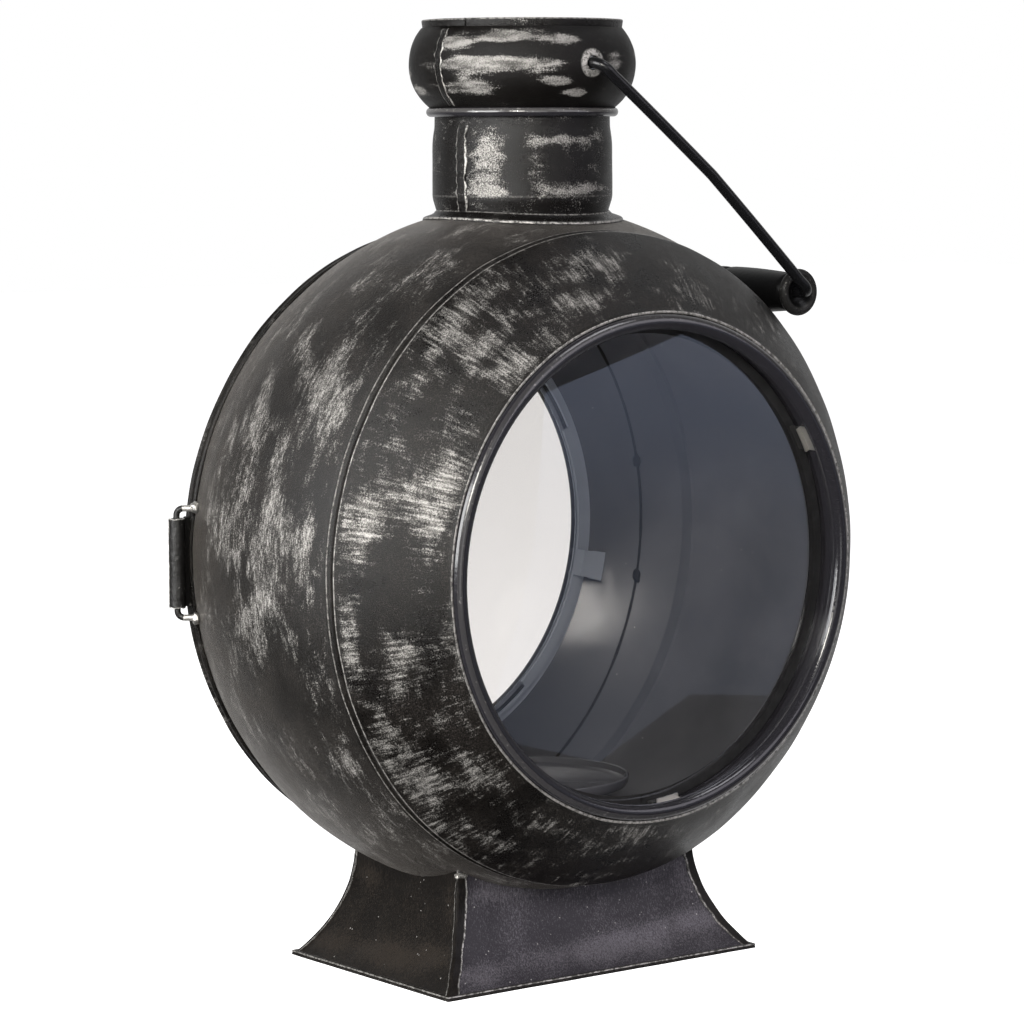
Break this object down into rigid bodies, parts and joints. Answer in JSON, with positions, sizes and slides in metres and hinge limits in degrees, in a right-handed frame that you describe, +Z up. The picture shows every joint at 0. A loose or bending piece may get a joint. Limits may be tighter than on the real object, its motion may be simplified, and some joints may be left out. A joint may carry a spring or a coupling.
{
  "type": "candle lantern",
  "caption": "Round drum-shaped steel candle lantern on a flared foot, with glass windows front and back, a hinged rear door and a swinging bail handle.",
  "frame": {"origin": "on the floor under the neck's axis, at the centre of the foot's rest plane", "axes": "+Z up through the neck; the front window faces -Y and the hinged rear door faces +Y; the bail lies fallen towards +X"},
  "size_m": [0.31, 0.1952, 0.42],
  "materials": {
    "antique_steel": "black lacquered sheet steel with rubbed silver patches",
    "foot_steel": "satin gunmetal lacquer with fine speckles",
    "worn_steel": "bare worn steel edges under black lacquer",
    "inner_steel": "smooth grey satin paint",
    "window_glass": "clear flat glass",
    "gasket_rubber": "matt black rubber",
    "black_wire": "semi-gloss black paint",
    "grip_black": "satin black lacquer on turned wood"
  },
  "bodies": {
    "lantern": {"foot_front_panel": "foot_steel", "foot_rear_panel": "foot_steel", "foot_left_panel": "foot_steel", "foot_right_panel": "foot_steel", "foot_corner_laps": "worn_steel", "foot_hem": "foot_steel", "drum_shell": "antique_steel", "front_dish": "antique_steel", "front_bezel": "antique_steel", "front_gasket": "gasket_rubber", "front_glass": "window_glass", "front_glass_clips": "worn_steel", "plate_stand": "inner_steel", "candle_plate": "inner_steel", "neck_collar": "antique_steel", "neck_tube": "antique_steel", "neck_seam": "worn_steel", "neck_bead": "antique_steel", "crown_bulb": "antique_steel", "crown_rim": "antique_steel", "hinge_staple": "worn_steel"},
    "bail": {"bail_wire": "black_wire"},
    "grip": {"bail_grip": "grip_black"},
    "door": {"rear_dish": "antique_steel", "rear_bezel": "antique_steel", "rear_gasket": "gasket_rubber", "rear_glass": "window_glass", "rear_glass_strips": "inner_steel", "rear_glass_clips": "worn_steel", "hinge_leaf": "worn_steel", "pull_tab": "worn_steel", "pull_tab_rivets": "worn_steel"}
  },
  "joints": [
    {"name": "bail_swing", "type": "hinge", "parent": "lantern", "child": "bail", "pos_m": [0, 0, 0.4005], "axis": [0, -1, 0], "range_deg": [0, 260.4]},
    {"name": "grip_spin", "type": "hinge", "parent": "bail", "child": "grip", "pos_m": [0.12198, 0, 0.29742], "axis": [0, 1, 0], "continuous": true},
    {"name": "door_swing", "type": "hinge", "parent": "lantern", "child": "door", "pos_m": [-0.151, 0.0515, 0.184], "axis": [0, 0, 1], "range_deg": [0, 110]}
  ]
}
